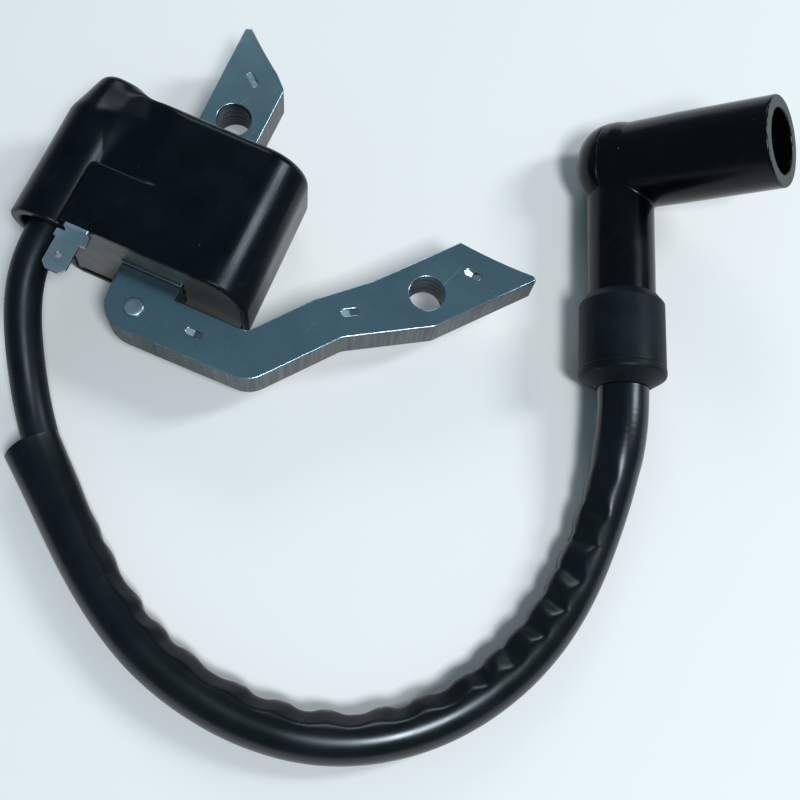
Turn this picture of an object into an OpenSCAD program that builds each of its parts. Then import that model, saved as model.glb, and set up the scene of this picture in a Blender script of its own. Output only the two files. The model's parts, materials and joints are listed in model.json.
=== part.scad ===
// Ignition coil of a small engine: laminated C core, potted coil, high-tension lead and plug cap.
// Origin: midway between the two mounting holes, on the mounting face of the core.
// +X runs through both holes, +Y points to the flywheel, +Z leaves the lamination stack.

/* [Core] */
// Distance between the two mounting holes
hole_pitch = 52.6; // [50:0.1:56]
// Diameter of each mounting hole
hole_d = 7; // [6:0.1:7.6]
// Outward lean of both pole legs from the Y axis, in degrees
leg_lean = 20; // [18:0.5:22]
// Width of the leg that carries the coil
leg_w = 12.6; // [11.6:0.1:12.8]
// Width of the free pole shoe
pole_w = 13.4; // [12.6:0.1:14]
// Thickness of one lamination
sheet_t = 0.635; // [0.5:0.005:0.64]
// Height that each lamination takes up in the stack
sheet_pitch = 0.65; // [0.645:0.005:0.66]
// Number of laminations
sheet_count = 13; // [11:2:13]
// Radius of the pole faces around the flywheel
pole_face_r = 101; // [95:1:110]
// Distance from the hole line to the flywheel axis
flywheel_y = 110.7; // [110:0.1:111.5]
// Distance from the mounting hole down the leg to the rivet
rivet_s = 43.9; // [43.5:0.1:44.5]
// Diameter of the rivet shank
rivet_d = 3.5; // [3:0.1:3.8]

/* [Case] */
// Half width of the case body
case_half_w = 20; // [19.5:0.1:21]
// Height of the case
case_h = 25.5; // [25:0.1:26]
// Length of the case along the leg
case_len = 30.6; // [30:0.1:31.2]
// Thickness of the case wall
wall = 1.6; // [1.4:0.1:1.8]
// Outer radius of the high-tension tower
tower_r = 7.1; // [6.8:0.1:7.3]
// Bore radius of the tower
tower_bore_r = 4.9; // [4.6:0.1:5.1]
// Depth of the hollow between the tower and the flat top
recess_depth = 3; // [2:0.1:3.2]

/* [Terminal] */
// Width of the kill terminal at its root
blade_w = 6.5; // [6.3:0.1:6.6]
// Width of the tab that takes the receptacle
tab_w = 4.8; // [4.7:0.1:5]
// Thickness of the blade
blade_t = 0.8; // [0.5:0.1:0.8]
// Length of the blade outside the case
blade_len = 9.1; // [8:0.1:10]

/* [Lead] */
// Diameter of the high-tension lead
lead_d = 7; // [6.6:0.1:7]
// Diameter of the stranded conductor
conductor_d = 2; // [1.6:0.1:2]
// Outer diameter of the protective sleeve
sleeve_d = 9.8; // [9.4:0.1:9.8]
// Wall thickness of the sleeve
sleeve_wall = 0.5; // [0.3:0.05:0.5]

/* [Plug cap] */
// Angle between the leg and the barrel of the cap
elbow_angle = 95; // [90:1:100]
// Tilt of the barrel above the horizontal
barrel_tilt = 38.8; // [30:0.1:50]
// Distance from the elbow to the mouth of the barrel
barrel_len = 34; // [32:0.1:36]
// Outer radius of the barrel at the elbow
barrel_r = 9.15; // [9:0.05:9.4]
// Outer radius of the barrel at its mouth
mouth_r = 9.05; // [8.8:0.05:9.2]
// Bore radius at the mouth
plug_bore_r = 6.5; // [6.2:0.1:6.6]
// Outer radius of the leg of the cap
cap_leg_r = 6.85; // [6.6:0.05:6.9]
// Outer radius of the rubber boot
boot_r = 8.8; // [8.4:0.1:8.9]

/* [Hidden] */
stack_h = sheet_count * sheet_pitch - (sheet_pitch - sheet_t);
mid_z = stack_h / 2;
case_z0 = mid_z - case_h / 2;
case_z1 = mid_z + case_h / 2;
// Positions along the leg, measured from its mounting hole
case_near = -36.4;
case_far = case_near + case_len;
resin_near = case_near + 0.6;
cavity_far = case_far - wall;
base_low = -rivet_s - 5;
base_high = -rivet_s + 4.5;
seam = case_near - 0.4;
// Axis of the tower across and above the leg
tower_a = -21.9;
tower_z = 9;
tower_near = case_near - 0.8;
boss_half = leg_w / 2;
boss_left = 5.9;
fit = 0.1;
// Left edge of the kill terminal blade
blade_a = -14.8 - blade_w / 2;
// Place and width of the strip between the tower pin and the winding
strip_s = -16;
strip_w = 2.4;
// Ends of both windings along the leg, and the chambers of the secondary
winding_near = -33.7;
winding_far = -9.1;
sections = 6;
section_pitch = 3.9;
// Place and thickness of the igniter board
board_a = 14.2;
board_t = 1.2;
// Elbow of the plug cap and the heading of its leg
elbow = [34.6, 52, 0.9];
leg_heading = 130.6;
// Stations along the leg of the cap, measured back from the elbow
boot_top = 29.4;
cap_leg_end = 39.5;
boot_bottom = 48.5;
neck_end = 53;
// Stations along the barrel of the cap, measured from the elbow
cover_x = -1.2;
cover_dome = 7.6;
core_bore_end = 11;
socket_end = 24.4;
core_bore_r = 2.8;
socket_seat = 15;
socket_r = 4;
// Route of the high-tension lead, from inside the tower to inside the cap
route = [
    [-39.4, -28.2, 9],
    [-34.2, -42.4, 9],
    [-31.6, -49.2, 8],
    [-27.4, -55.2, 5.4],
    [-21.2, -61.2, 1.4],
    [-12.4, -67.8, -2.2],
    [-1.4, -73.6, -3.5],
    [10, -78.4, -3.5],
    [22, -82, -3.5],
    [34.4, -83.8, -3.5],
    [46.8, -82.7, -3.5],
    [58.6, -79.1, -3.5],
    [69.2, -72.9, -3.5],
    [77.6, -64, -3.5],
    [83.4, -53, -3.5],
    [86.2, -41, -3.5],
    [86.3, -30, -3.5],
    [84.4, -19.6, -3.5],
    [81, -9.4, -3.5],
    [76.4, 0.6, -1.6],
    [71, 9.2, 0.6],
    [64.9, 16.6, 0.9],
    [56.8, 26.1, 0.9],
    [50.3, 33.7, 0.9]
];
// The sleeve starts between two points of the route and ends at the boot
sleeve_start = [-8.4, -70, -2.9];
sleeve_first = 6;
sleeve_last = 20;
sleeve_end = [66.3, 15, 0.9];

// ---- 2D helpers ----

// Unit vector from p to q
function toward(p, q) = (q - p) / norm(q - p);

// Points of one rounded corner at [x, y, r] between its two neighbours
function corner(before, at, after, steps = 6) =
    at[2] == 0 ? [[at[0], at[1]]] :
    let (
        p = [at[0], at[1]],
        u = toward(p, [before[0], before[1]]),
        v = toward(p, [after[0], after[1]]),
        half = acos(u * v) / 2,
        c = p + (u + v) / norm(u + v) * at[2] / sin(half),
        from = p + u * at[2] / tan(half) - c,
        to = p + v * at[2] / tan(half) - c,
        turn = 180 - 2 * half,
        side = from[0] * to[1] - from[1] * to[0] > 0 ? 1 : -1
    )
    [for (k = [0:steps]) c + spin(from, side * turn * k / steps)];

// Vector v turned by an angle
function spin(v, angle) = [
    v[0] * cos(angle) - v[1] * sin(angle),
    v[0] * sin(angle) + v[1] * cos(angle)
];

// Outline through corners given as [x, y, radius]
function rounded(pts) = [
    for (i = [0:len(pts) - 1])
        each corner(pts[(i + len(pts) - 1) % len(pts)], pts[i], pts[(i + 1) % len(pts)])
];

// Rectangle with round corners, centred
function box_outline(half_w, half_h, r) =
    rounded([[half_w, -half_h, r], [half_w, half_h, r], [-half_w, half_h, r], [-half_w, -half_h, r]]);

// Place of a point given across and along the coil leg, with a corner radius
function leg_point(a, s, r) = [
    -hole_pitch / 2 + a * cos(leg_lean) - s * sin(leg_lean),
    a * sin(leg_lean) + s * cos(leg_lean),
    r
];

// The same on the free leg, which mirrors the coil leg
function pole_point(a, s, r) =
    let (p = leg_point(a, s, r))
    [-p[0], p[1], r];

// ---- 3D helpers ----

// Local frame of the coil leg: X across it, Y along it, origin at its hole
module on_leg() {
    translate([-hole_pitch / 2, 0, 0]) rotate([0, 0, leg_lean]) children();
}

// Section drawn across and above the leg, swept along it from s0 to s1
module along_leg(s0, s1) {
    translate([0, s1, 0]) rotate([90, 0, 0]) linear_extrude(s1 - s0) children();
}

// Rectangular ring around the leg, swept from s0 to s1
module ring_on_leg(outer_w, outer_h, inner_w, inner_h, r, s0, s1) {
    along_leg(s0, s1) translate([0, mid_z]) difference() {
        polygon(box_outline(outer_w, outer_h, r));
        polygon(box_outline(inner_w, inner_h, r / 2));
    }
}

// Frame of the tower: Z leaves its mouth, origin at the mouth
module in_tower() {
    on_leg() translate([tower_a, tower_near, tower_z]) rotate([90, 0, 0]) children();
}

// Frame of the cap's leg: Z runs back from the elbow to the boot
module on_cap_leg() {
    translate(elbow) rotate([0, 0, leg_heading]) rotate([0, 90, 0]) children();
}

// Frame of the barrel: Z runs from the elbow to the mouth
module on_barrel() {
    translate(elbow) rotate([0, 0, leg_heading]) rotate([90 - barrel_tilt, 0, 0])
        rotate([0, 90 - elbow_angle, 0]) children();
}

// Closed tube through points, hollow when r_in is above zero
module swept_tube(points, r_out, r_in, sides) {
    n = len(points);
    last = n - 1;
    function dir(i) = toward(points[max(i - 1, 0)], points[min(i + 1, last)]);
    function side_of(d) = cross(d, [0, 0, 1]) / norm(cross(d, [0, 0, 1]));
    function ring(i, r) =
        let (d = dir(i), u = side_of(d), v = cross(u, d))
        [for (k = [0:sides - 1]) points[i] + r * (u * cos(360 * k / sides) + v * sin(360 * k / sides))];
    outer = [for (i = [0:last]) each ring(i, r_out)];
    inner = r_in > 0 ? [for (i = [0:last]) each ring(i, r_in)] : [];
    base = n * sides;
    skin = [for (i = [0:last - 1], k = [0:sides - 1])
        let (a = i * sides + k, b = i * sides + (k + 1) % sides)
        [a, b, b + sides, a + sides]];
    lining = [for (f = r_in > 0 ? skin : []) [f[3] + base, f[2] + base, f[1] + base, f[0] + base]];
    solid_ends = [[for (k = [sides - 1:-1:0]) k], [for (k = [0:sides - 1]) last * sides + k]];
    open_ends = [for (k = [0:sides - 1])
        let (m = (k + 1) % sides, e = last * sides)
        each [[m, k, base + k, base + m], [e + k, e + m, base + e + m, base + e + k]]];
    polyhedron(concat(outer, inner), concat(skin, lining, r_in > 0 ? open_ends : solid_ends));
}

// ---- Core ----

// One interlock dimple, a shallow vee in the top sheet
module interlock(x, y, angle) {
    dimple_l = 3.8;
    dimple_w = 1.5;
    dimple_depth = 0.62;
    translate([x, y, stack_h]) rotate([0, 0, angle]) rotate([90, 0, 0])
        translate([0, 0, -dimple_w / 2]) linear_extrude(dimple_w)
            polygon([[-dimple_l / 2, 0], [-dimple_l / 2, 0.1], [dimple_l / 2, 0.1], [dimple_l / 2, 0],
                [0, -dimple_depth]]);
}

// Leg sheet, long through the rivet or short up to the seam; its far end is the pole face
module leg_outline(long) {
    blunt_tip = 19.85;
    inner_corner = 10.3;
    foot = long
        ? [leg_point(-boss_half, seam, 0), leg_point(-boss_left, base_low, 6), leg_point(boss_half, base_low, 0)]
        : [leg_point(-boss_half, seam + fit, 0), leg_point(boss_half, seam + fit, 0)];
    difference() {
        polygon(rounded(concat(
            foot,
            [leg_point(boss_half, inner_corner, 1.2), leg_point(boss_half - 3, inner_corner + 3, 0)],
            [leg_point(boss_half - 3, blunt_tip + 4.6, 0), leg_point(-boss_half - 0.4, blunt_tip, 0)],
            [leg_point(-boss_half, -4, 0)]
        )));
        translate([0, flywheel_y]) circle(pole_face_r, $fn = 180);
    }
}

// Arm sheet, with the full boss at the joint or cut back beside the leg
module arm_outline(full) {
    limb_foot = [14.5, -36.8, 6];
    jog_outer = [20.9, -18, 4];
    jog_inner = [11.9, -15.9, 3];
    inner_corner = [7.3, -29.7, 2];
    pole_half = pole_w / 2;
    boss_cut = boss_half + 2 * fit;
    blunt_tip = 20.6;
    boss = full
        ? [leg_point(boss_half, seam - fit, 0), leg_point(-boss_left, seam - fit, 0),
            leg_point(-boss_left, base_low, 6)]
        : [leg_point(boss_cut, base_low, 0)];
    difference() {
        polygon(rounded(concat(
            boss,
            [limb_foot, jog_outer, pole_point(-pole_half, -1.7, 2), pole_point(-pole_half, blunt_tip, 0)],
            [pole_point(pole_half, blunt_tip, 0), pole_point(pole_half, -8.3, 3), jog_inner, inner_corner],
            [leg_point(full ? boss_half : boss_cut, base_high, 0)]
        )));
        translate([0, flywheel_y]) circle(pole_face_r, $fn = 180);
    }
}

// At the joint the even sheets run through in the arm and the odd ones in the leg
module leg_laminations() {
    color("slategray") difference() {
        for (i = [0:sheet_count - 1])
            translate([0, 0, i * sheet_pitch]) linear_extrude(sheet_t) leg_outline(i % 2 == 1);
        translate([-hole_pitch / 2, 0, -1]) cylinder(h = stack_h + 2, d = hole_d, $fn = 48);
        on_leg() translate([0, -rivet_s, -1]) cylinder(h = stack_h + 2, d = rivet_d + fit, $fn = 32);
        interlock(-30, 9, -17);
    }
}

module arm_laminations() {
    color("slategray") difference() {
        for (i = [0:sheet_count - 1])
            translate([0, 0, i * sheet_pitch]) linear_extrude(sheet_t) arm_outline(i % 2 == 0);
        translate([hole_pitch / 2, 0, -1]) cylinder(h = stack_h + 2, d = hole_d, $fn = 48);
        on_leg() translate([0, -rivet_s, -1]) cylinder(h = stack_h + 2, d = rivet_d + fit, $fn = 32);
        interlock(30, 9.2, 17);
        interlock(18.4, -13.3, 51);
        interlock(0.5, -37, 20);
    }
}

module core_rivet() {
    head_r = 1.9;
    head_h = 0.42;
    color("lightsteelblue") on_leg() translate([0, -rivet_s, 0]) rotate_extrude($fn = 48)
        polygon([
            [0, 0], [rivet_d / 2, 0], [rivet_d / 2, stack_h], [head_r, stack_h],
            [head_r, stack_h + head_h - 0.12], [head_r - 0.12, stack_h + head_h], [0, stack_h + head_h]
        ]);
}

// ---- Case ----

// Cross-section of the case body, pulled in all round by an inset
module body_section(inset) {
    right = case_half_w - inset;
    polygon(rounded([
        [right, case_z0 + inset, 8.5 - inset],
        [right, case_z1 - inset, 9 - inset],
        [-17.7 + inset, case_z1 - inset, 1.2],
        [-case_half_w + inset, 5, 1],
        [-case_half_w + inset, case_z0 + inset, 3 - inset]
    ]));
}

// Case body with its far end rounded over
module body_block() {
    hull() {
        along_leg(case_near, case_far - 2) body_section(0);
        along_leg(case_near, case_far - 1) body_section(0.27);
        along_leg(case_near, case_far - 0.3) body_section(0.9);
        along_leg(case_near, case_far) body_section(1.35);
    }
}

// Closed far end of the tower, a blunt dome
module tower_shape() {
    far_end = 34.8;
    nose_r = 4.4;
    rotate_extrude($fn = 64) polygon(rounded([
        [0, 0, 0],
        [tower_r, 0, 0.5],
        [tower_r, -25.5, 5],
        [nose_r, -far_end, 2.6],
        [0, -far_end, 0]
    ]));
}

module recess_cut() {
    a0 = -17.4;
    a1 = -3.5;
    step_s = -23.3;
    along_leg(step_s, case_far + 1)
        polygon([[a0 - 3, case_z1 - recess_depth], [a0, case_z1 - recess_depth], [a1, case_z1],
            [a1, case_z1 + 3], [a0 - 3, case_z1 + 3]]);
}

module coil_case() {
    slot = 0.25;
    color([0.13, 0.16, 0.18]) difference() {
        union() {
            on_leg() difference() {
                body_block();
                recess_cut();
            }
            in_tower() tower_shape();
        }
        on_leg() difference() {
            along_leg(case_near - 1, cavity_far) body_section(wall);
            translate([tower_a, 0, tower_z]) rotate([90, 0, 0])
                cylinder(h = 40, r = tower_bore_r + 1.2, $fn = 64);
            along_leg(-24, case_far)
                polygon([[-case_half_w, case_z1 - recess_depth - wall], [-17.4, case_z1 - recess_depth - wall],
                    [-3.5, case_z1 - wall], [-3.5, case_z1], [-case_half_w, case_z1]]);
        }
        on_leg() along_leg(cavity_far - 1, case_far + 1)
            translate([0, mid_z]) square([leg_w + 2 * slot, stack_h + 2 * slot], center = true);
        in_tower() translate([0, 0, -24]) cylinder(h = 26, r = tower_bore_r, $fn = 64);
        // Passage from the tower to the winding
        on_leg() translate([tower_a, strip_s - 0.4, tower_z - 1]) cube([8, strip_w + 0.8, 2]);
    }
}

module potting_resin() {
    end = -34.9;
    color([0.42, 0.4, 0.36]) on_leg() difference() {
        along_leg(resin_near, cavity_far - 0.05) body_section(wall + 0.05);
        translate([tower_a, 0, tower_z]) rotate([90, 0, 0])
            cylinder(h = 40, r = tower_bore_r + 1.25, $fn = 64);
        along_leg(-24.05, case_far)
            polygon([[-case_half_w, case_z1 - recess_depth - wall - 0.05],
                [-17.4, case_z1 - recess_depth - wall - 0.05], [-3.5, case_z1 - wall - 0.05],
                [-3.5, case_z1], [-case_half_w, case_z1]]);
        // Room for the leg, the windings, the board and the high-tension strip
        along_leg(resin_near - 1, case_far)
            translate([0, mid_z]) square([leg_w + fit, stack_h + fit], center = true);
        along_leg(end, cavity_far - 1.2) translate([0, mid_z]) square([26, 19.6], center = true);
        translate([12, end, -4]) cube([4, 24, 17]);
        translate([12, -32, -1]) cube([6, 21, 9.4]);
        translate([-17, strip_s - 0.4, tower_z - 1]) cube([5, strip_w + 0.8, 2]);
        // Slot of the kill terminal and its wire
        translate([blade_a + 2.9, resin_near - 1, 12.9]) cube([2.8, 3.1, 1.7]);
    }
}

// ---- Coil ----

module primary_bobbin() {
    flange = 0.8;
    color("ivory") on_leg() union() {
        ring_on_leg(7.35, 5.2, 6.4, 4.32, 0.4, winding_near, winding_far);
        ring_on_leg(9.3, 7.1, 6.4, 4.32, 0.6, winding_near, winding_near + flange);
        ring_on_leg(9.3, 7.1, 6.4, 4.32, 0.6, winding_far - flange, winding_far);
    }
}

module primary_winding() {
    color([0.72, 0.4, 0.2]) on_leg()
        ring_on_leg(9, 6.8, 7.4, 5.25, 1, winding_near + 0.9, winding_far - 0.9);
}

module winding_insulation() {
    color([0.85, 0.75, 0.4]) on_leg()
        ring_on_leg(9.25, 7.05, 9.05, 6.85, 1, winding_near + 0.9, winding_far - 0.9);
}

module secondary_bobbin() {
    flange = 0.6;
    first = winding_near + 0.3;
    color("whitesmoke") on_leg() union() {
        ring_on_leg(10.4, 8.2, 9.4, 7.2, 0.8, first, first + sections * section_pitch + flange);
        for (k = [0:sections])
            ring_on_leg(12.6, 9.15, 9.4, 7.2, 1, first + k * section_pitch, first + k * section_pitch + flange);
    }
}

module secondary_winding() {
    first = winding_near + 0.95;
    color([0.6, 0.25, 0.12]) on_leg() for (k = [0:sections - 1])
        ring_on_leg(12.1, 8.8, 10.45, 8.25, 1, first + k * section_pitch, first + k * section_pitch + 3.2);
}

// ---- Igniter ----

module igniter_board() {
    color([0.1, 0.35, 0.2]) on_leg() translate([board_a, -34, -3.6]) cube([board_t, 22, 16.4]);
}

module power_transistor() {
    color([0.15, 0.15, 0.15]) on_leg() translate([board_a + board_t, -19.5, 0]) union() {
        cube([2.2, 6.5, 6]);
        translate([0, 0.5, 6]) cube([0.6, 5.5, 1.6]);
    }
}

module board_resistors() {
    color([0.55, 0.65, 0.75]) on_leg() for (z = [1, 4, 7])
        translate([board_a + board_t + 1, -22, z]) rotate([90, 0, 0]) cylinder(h = 4, r = 0.9, $fn = 24);
}

module board_capacitor() {
    color([0.8, 0.55, 0.2]) on_leg() translate([board_a + board_t, -29.5, 4])
        rotate([0, 90, 0]) cylinder(h = 2, r = 2.4, $fn = 32);
}

// ---- Terminals ----

module kill_terminal() {
    blade_z = 13.9;
    shoulder = case_near - 2.6;
    tab_left = blade_a + 0.6;
    tab_right = tab_left + tab_w;
    tab_end = case_near - blade_len;
    tip = 1.1;
    flange_a = blade_a + 1.6;
    color([0.62, 0.68, 0.72]) on_leg() union() {
        difference() {
            translate([0, 0, blade_z]) linear_extrude(blade_t) polygon([
                [flange_a, case_near - 0.4], [flange_a, case_near - 1], [blade_a, case_near - 1],
                [blade_a, shoulder], [tab_left, shoulder],
                [tab_left, tab_end + tip], [tab_left + tip, tab_end], [tab_right - tip, tab_end],
                [tab_right, tab_end + tip], [tab_right, shoulder], [blade_a + blade_w, shoulder],
                [blade_a + blade_w, case_near - 0.4]
            ]);
            translate([tab_left + 2.15, shoulder - 3.2, blade_z - 1]) cylinder(h = 3, r = 0.7, $fn = 24);
        }
        // Upright flange against the case, and its foot
        translate([flange_a, case_near - blade_t, blade_z]) cube([blade_a + blade_w - flange_a, blade_t, 3]);
        translate([blade_a + 3, case_near - 0.2, blade_z]) cube([2.6, 1.7, 0.6]);
    }
}

module kill_wire() {
    s = -34.35;
    color("firebrick") on_leg()
        swept_tube([[-13.7, s, 13.4], [-11, s, 12.5], [10, s, 12.3], [14.1, s, 12.3]], 0.4, 0, 8);
}

module ground_strap() {
    color([0.8, 0.65, 0.3]) on_leg() translate([leg_w / 2 + 0.02, -34.45, 2.5])
        cube([board_a + board_t - leg_w / 2 - 0.02, 0.4, 4]);
}

module tower_pin() {
    color([0.8, 0.65, 0.3]) in_tower() rotate_extrude($fn = 32)
        polygon([[0, -24], [2.4, -24], [2.4, -23.2], [0.9, -23.2], [0.9, -11.5], [0, -9.5]]);
}

module tower_strip() {
    gap = 0.05;
    color([0.8, 0.65, 0.3]) on_leg() translate([tower_a + 2.4 + gap, strip_s, tower_z - 0.2])
        cube([6.6, strip_w, 0.4]);
}

// ---- Lead ----

module lead_conductor() {
    first = [-37.2, -34.2, 9];
    inside = [52.5, 31.1, 0.9];
    points = concat([first], [for (k = [1:len(route) - 2]) route[k]], [inside]);
    color([0.75, 0.45, 0.25]) swept_tube(points, conductor_d / 2, 0, 8);
}

module lead_insulation() {
    color([0.1, 0.12, 0.14]) swept_tube(route, lead_d / 2, conductor_d / 2 + 0.08, 10);
}

module lead_sleeve() {
    points = concat([sleeve_start], [for (k = [sleeve_first:sleeve_last]) route[k]], [sleeve_end]);
    color([0.12, 0.14, 0.16]) swept_tube(points, sleeve_d / 2, sleeve_d / 2 - sleeve_wall, 12);
}

module lead_boot() {
    lead_hole = lead_d / 2 + 0.05;
    neck_r = 4.3;
    color([0.12, 0.13, 0.15]) on_cap_leg() rotate_extrude($fn = 72) polygon(rounded([
        [cap_leg_r + 0.05, -boot_top, 0],
        [cap_leg_r + 0.4, -boot_top, 0.2],
        [boot_r - 0.15, -boot_top - 1.6, 0.6],
        [boot_r, -boot_bottom + 2.5, 0.8],
        [neck_r + 1.5, -boot_bottom, 0.4],
        [neck_r, -boot_bottom, 0],
        [neck_r, -neck_end, 0],
        [lead_hole, -neck_end, 0],
        [lead_hole, -cap_leg_end - 0.1, 0],
        [cap_leg_r + 0.05, -cap_leg_end - 0.1, 0]
    ]));
}

// ---- Plug cap ----

// Half ellipsoid behind the rear face of the barrel, grown by a gap
module rear_dome(gap) {
    dome_r = barrel_r + 0.15 + gap;
    on_barrel() translate([0, 0, cover_x]) rotate_extrude($fn = 96)
        polygon(concat(
            [[0, 0.5 * gap]],
            [for (k = [0:15]) [dome_r * cos(6 * k), 0.5 * gap - (cover_dome + gap) * sin(6 * k)]]
        ));
}

module cap_shell() {
    mouth_round = 0.5;
    color([0.08, 0.09, 0.1]) difference() {
        union() {
            on_barrel() rotate_extrude($fn = 96) polygon(rounded([
                [0, cover_x, 0],
                [barrel_r + 0.3, cover_x, 0.25],
                [barrel_r + 0.3, 1.4, 0.8],
                [barrel_r - 0.3, 3.4, 1.5],
                [barrel_r, 14, 0],
                [mouth_r, barrel_len, mouth_round],
                [0, barrel_len, 0]
            ]));
            on_cap_leg() translate([0, 0, -cap_leg_end]) cylinder(h = cap_leg_end, r = cap_leg_r, $fn = 72);
        }
        on_barrel() {
            translate([0, 0, cover_x - 1]) cylinder(h = core_bore_end - cover_x + 2, r = core_bore_r, $fn = 48);
            translate([0, 0, core_bore_end]) cylinder(h = 5, r = socket_r + 0.05, $fn = 48);
            translate([0, 0, socket_seat]) cylinder(h = 20, r = plug_bore_r - 0.3, $fn = 72);
            translate([0, 0, socket_end]) cylinder(h = 20, r = plug_bore_r, $fn = 72);
            translate([0, 0, cover_x - 1]) cylinder(h = 1.7, r = 6, $fn = 48);
        }
        rear_dome(0.05);
        on_cap_leg() {
            translate([0, 0, -cap_leg_end - 1]) cylinder(h = 20.5, r = lead_d / 2 + 0.08, $fn = 48);
            translate([0, 0, -25]) cylinder(h = 25, r = 1.6, $fn = 32);
        }
    }
}

module cap_rear_cover() {
    spigot_r = 5.95;
    spigot_h = 0.6;
    color([0.08, 0.09, 0.1]) difference() {
        union() {
            rear_dome(0);
            on_barrel() translate([0, 0, cover_x - 0.1]) cylinder(h = spigot_h + 0.1, r = spigot_r, $fn = 48);
        }
        // Room for the head of the screw
        on_barrel() translate([0, 0, -2.5]) cylinder(h = 4, r = core_bore_r, $fn = 48);
        on_cap_leg() translate([0, 0, -10]) cylinder(h = 10, r = 1.6, $fn = 32);
    }
}

module lead_screw() {
    color([0.8, 0.65, 0.3]) union() {
        on_barrel() translate([0, 0, -2.4]) cylinder(h = 4, r = core_bore_r - 0.1, $fn = 32);
        on_cap_leg() rotate_extrude($fn = 24)
            polygon([[0, -25.4], [0.95, -23], [0.95, -20], [1.5, -19.8], [1.5, 0], [0, 0]]);
    }
}

module contact_spring() {
    wire = 0.3;
    mean_r = 2;
    turns = 4;
    steps = 12;
    low = 1.65 + wire;
    travel = 3.2;
    coil = [for (k = [0:turns * steps])
        [mean_r * cos(360 * k / steps), mean_r * sin(360 * k / steps), low + travel * k / (turns * steps)]];
    color("silver") on_barrel() swept_tube(coil, wire, 0, 6);
}

module suppressor_resistor() {
    color("white") on_barrel() translate([0, 0, 6.3]) cylinder(h = 5.6, r = 2.2, $fn = 32);
}

module resistor_end_caps() {
    color([0.8, 0.65, 0.3]) on_barrel() {
        translate([0, 0, 5.5]) cylinder(h = 0.8, r = 2.5, $fn = 32);
        translate([0, 0, 11.9]) cylinder(h = 0.8, r = 2.5, $fn = 32);
    }
}

module plug_socket() {
    cup_in = 3.2;
    color([0.8, 0.65, 0.3]) on_barrel() difference() {
        translate([0, 0, 12.75]) cylinder(h = 11.25, r = socket_r, $fn = 48);
        translate([0, 0, 14]) cylinder(h = 20, r = cup_in, $fn = 48);
    }
}

module socket_clip() {
    color("silver") on_barrel() translate([0, 0, 20]) rotate_extrude(angle = 300, $fn = 48)
        translate([4.4, 0]) circle(0.35, $fn = 16);
}

leg_laminations();
arm_laminations();
core_rivet();
coil_case();
potting_resin();
primary_bobbin();
primary_winding();
winding_insulation();
secondary_bobbin();
secondary_winding();
igniter_board();
power_transistor();
board_resistors();
board_capacitor();
kill_terminal();
kill_wire();
ground_strap();
tower_pin();
tower_strip();
lead_conductor();
lead_insulation();
lead_sleeve();
lead_boot();
cap_shell();
cap_rear_cover();
lead_screw();
contact_spring();
suppressor_resistor();
resistor_end_caps();
plug_socket();
socket_clip();
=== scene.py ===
import json
import math

import bpy
import bmesh
import numpy as np
from mathutils import Matrix, Vector
from mathutils.geometry import tessellate_polygon


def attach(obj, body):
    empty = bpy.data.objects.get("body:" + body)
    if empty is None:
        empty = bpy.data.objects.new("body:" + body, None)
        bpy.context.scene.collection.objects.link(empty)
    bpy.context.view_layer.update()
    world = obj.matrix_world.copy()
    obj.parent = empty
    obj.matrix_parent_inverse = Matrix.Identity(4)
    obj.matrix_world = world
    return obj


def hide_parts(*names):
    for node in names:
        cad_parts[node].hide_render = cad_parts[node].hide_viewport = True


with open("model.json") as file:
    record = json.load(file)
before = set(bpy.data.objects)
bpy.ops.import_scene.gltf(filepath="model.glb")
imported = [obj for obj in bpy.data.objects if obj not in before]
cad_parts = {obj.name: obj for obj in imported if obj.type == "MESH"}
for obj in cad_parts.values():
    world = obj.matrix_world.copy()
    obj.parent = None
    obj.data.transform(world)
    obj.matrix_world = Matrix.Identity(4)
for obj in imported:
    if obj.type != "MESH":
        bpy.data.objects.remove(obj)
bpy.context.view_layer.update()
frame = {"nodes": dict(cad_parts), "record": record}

MM = 0.001
NODES = frame["nodes"]

# ---- What scene.py repeats from part.scad, in mm ----

LEAN = math.radians(20)
HOLE_X = -26.3
MID_Z = 4.2175
STACK_H = 8.435
CASE_NEAR, CASE_FAR = -36.4, -5.8
CASE_Z0, CASE_Z1 = MID_Z - 12.75, MID_Z + 12.75
CASE_HALF = 20.0
TOWER_A, TOWER_Z, TOWER_R, TOWER_BORE = -21.9, 9.0, 7.1, 4.9
TOWER_NEAR = CASE_NEAR - 0.8
RIVET_S = -43.9
BLADE_A = -18.05
ELBOW = np.array([34.6, 52.0, 0.9])
HEADING = math.radians(130.6)
BARREL_TILT = math.radians(38.8)
ELBOW_ANGLE = math.radians(95)
BARREL_R, MOUTH_R, BARREL_LEN, PLUG_R = 9.15, 9.05, 34.0, 6.5
CAP_LEG_R, BOOT_R = 6.85, 8.8
BOOT_TOP, CAP_LEG_END, BOOT_BOTTOM, NECK_END = 29.4, 39.5, 48.5, 53.0
COVER_X, COVER_DOME = -1.2, 7.6
LEAD_R, SLEEVE_R, SLEEVE_WALL = 3.5, 4.9, 0.5
ROUTE = [
    (-39.4, -28.2, 9), (-34.2, -42.4, 9), (-31.6, -49.2, 8), (-27.4, -55.2, 5.4),
    (-21.2, -61.2, 1.4), (-12.4, -67.8, -2.2), (-1.4, -73.6, -3.5), (10, -78.4, -3.5),
    (22, -82, -3.5), (34.4, -83.8, -3.5), (46.8, -82.7, -3.5), (58.6, -79.1, -3.5),
    (69.2, -72.9, -3.5), (77.6, -64, -3.5), (83.4, -53, -3.5), (86.2, -41, -3.5),
    (86.3, -30, -3.5), (84.4, -19.6, -3.5), (81, -9.4, -3.5), (76.4, 0.6, -1.6),
    (71, 9.2, 0.6), (64.9, 16.6, 0.9), (56.8, 26.1, 0.9), (50.3, 33.7, 0.9),
]
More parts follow.
